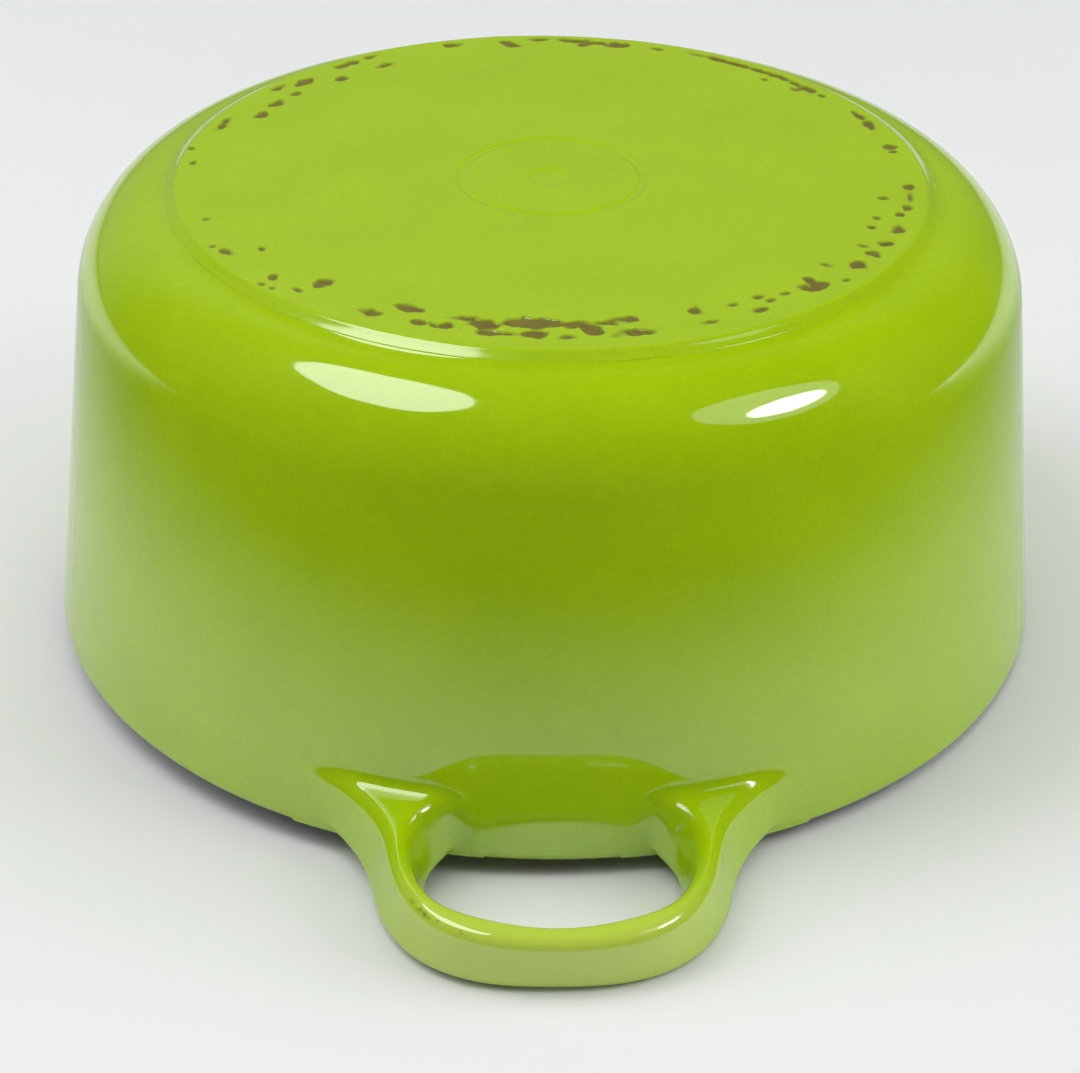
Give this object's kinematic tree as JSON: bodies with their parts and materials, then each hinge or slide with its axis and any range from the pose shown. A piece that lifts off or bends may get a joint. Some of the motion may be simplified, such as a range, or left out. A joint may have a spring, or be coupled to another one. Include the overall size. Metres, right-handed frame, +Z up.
{
  "type": "casserole pot",
  "caption": "Round enamelled cast-iron casserole pot turned upside down: tapered wall, round shoulder, raised foot disc, loop handles on opposite sides, no lid.",
  "frame": {"origin": "on the pot's axis, on the plane that the undersides of the two handles stand on, 2.5 mm below the rim", "axes": "+Z up, from the rim to the foot disc along the pot's axis; the handles lie on the Y axis, the front handle towards -Y"},
  "size_m": [0.1916, 0.2558, 0.09],
  "materials": {
    "cast_iron": "rough grey-brown iron, seen only where the coat is chipped",
    "green_enamel": "glossy lime-green vitreous enamel",
    "black_enamel": "matte black vitreous enamel on the rim",
    "cream_enamel": "glossy cream vitreous enamel lining"
  },
  "bodies": {
    "root": {"iron_casting": "cast_iron", "wall_enamel": "green_enamel", "base_enamel": "green_enamel", "front_handle_enamel": "green_enamel", "rear_handle_enamel": "green_enamel", "rim_enamel": "black_enamel", "interior_enamel": "cream_enamel"}
  },
  "joints": []
}
